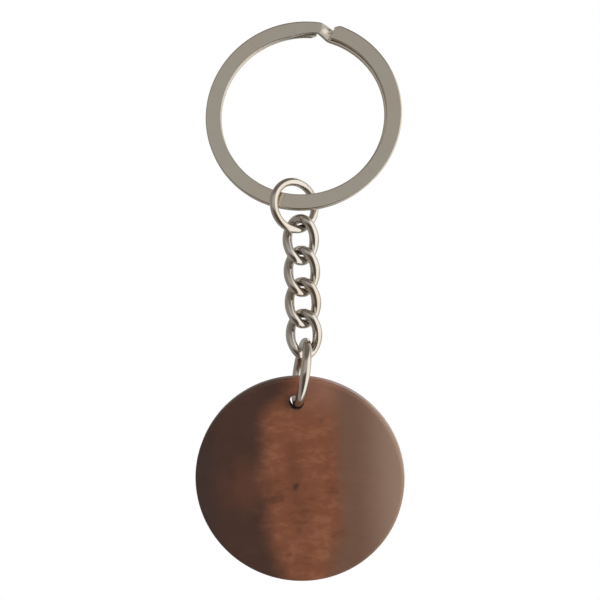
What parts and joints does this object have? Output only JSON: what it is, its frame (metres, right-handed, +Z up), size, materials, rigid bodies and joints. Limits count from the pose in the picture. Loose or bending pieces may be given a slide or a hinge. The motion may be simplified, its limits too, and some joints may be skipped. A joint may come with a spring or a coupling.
{
  "type": "wooden disc keyring",
  "caption": "Keyring with a flat-strip split ring, a short chain of twisted links between small jump rings, and a plain round wooden disc as the fob.",
  "frame": {"origin": "the point on the split ring's inner wall, at its top, that rests on whatever the keyring hangs from", "axes": "+Z up, from the disc towards the split ring; +X to the right as the picture shows it; -Y towards the viewer"},
  "size_m": [0.032, 0.0136, 0.0859],
  "materials": {
    "nickel_steel": "polished nickel plate on spring steel strip",
    "nickel_wire": "polished nickel plate on steel wire",
    "lacquered_wood": "dark red-brown wood under satin lacquer"
  },
  "bodies": {
    "split_ring": {"split_ring": "nickel_steel"},
    "upper_jump_ring": {"upper_jump_ring": "nickel_wire"},
    "chain_link_1": {"chain_link_1": "nickel_wire"},
    "chain_link_2": {"chain_link_2": "nickel_wire"},
    "chain_link_3": {"chain_link_3": "nickel_wire"},
    "chain_link_4": {"chain_link_4": "nickel_wire"},
    "lower_jump_ring": {"lower_jump_ring": "nickel_wire"},
    "wooden_disc": {"wooden_disc": "lacquered_wood"}
  },
  "joints": [
    {"name": "upper_jump_ring_slide_round", "type": "hinge", "parent": "split_ring", "child": "upper_jump_ring", "pos_m": [-0.00033, -0.00321, -0.01218], "axis": [-0.0982, -0.9617, 0.2558], "continuous": true},
    {"name": "chain_link_1_swing", "type": "hinge", "parent": "upper_jump_ring", "child": "chain_link_1", "pos_m": [-0.00076, -0.00679, -0.02952], "axis": [0.804, 0.558, 0.2053], "range_deg": [-70, 45]},
    {"name": "chain_link_2_swing", "type": "hinge", "parent": "chain_link_1", "child": "chain_link_2", "pos_m": [-0.00065, -0.00679, -0.03278], "axis": [0.7067, -0.7071, 0.0241], "range_deg": [-25, 25]},
    {"name": "chain_link_3_swing", "type": "hinge", "parent": "chain_link_2", "child": "chain_link_3", "pos_m": [-0.00043, -0.00679, -0.0392], "axis": [0.7067, 0.7071, 0.0241], "range_deg": [-25, 25]},
    {"name": "chain_link_4_swing", "type": "hinge", "parent": "chain_link_3", "child": "chain_link_4", "pos_m": [-0.00033, -0.00679, -0.04238], "axis": [0.7067, -0.7071, 0.0241], "range_deg": [-25, 25]},
    {"name": "lower_jump_ring_swing", "type": "hinge", "parent": "chain_link_4", "child": "lower_jump_ring", "pos_m": [-0.00011, -0.00679, -0.04879], "axis": [0.7067, 0.7071, 0.0241], "range_deg": [-20, 12]},
    {"name": "wooden_disc_swing", "type": "hinge", "parent": "lower_jump_ring", "child": "wooden_disc", "pos_m": [-0.00133, -0.00583, -0.05591], "axis": [0.0903, -0.9709, -0.222], "range_deg": [-65, 43]}
  ]
}
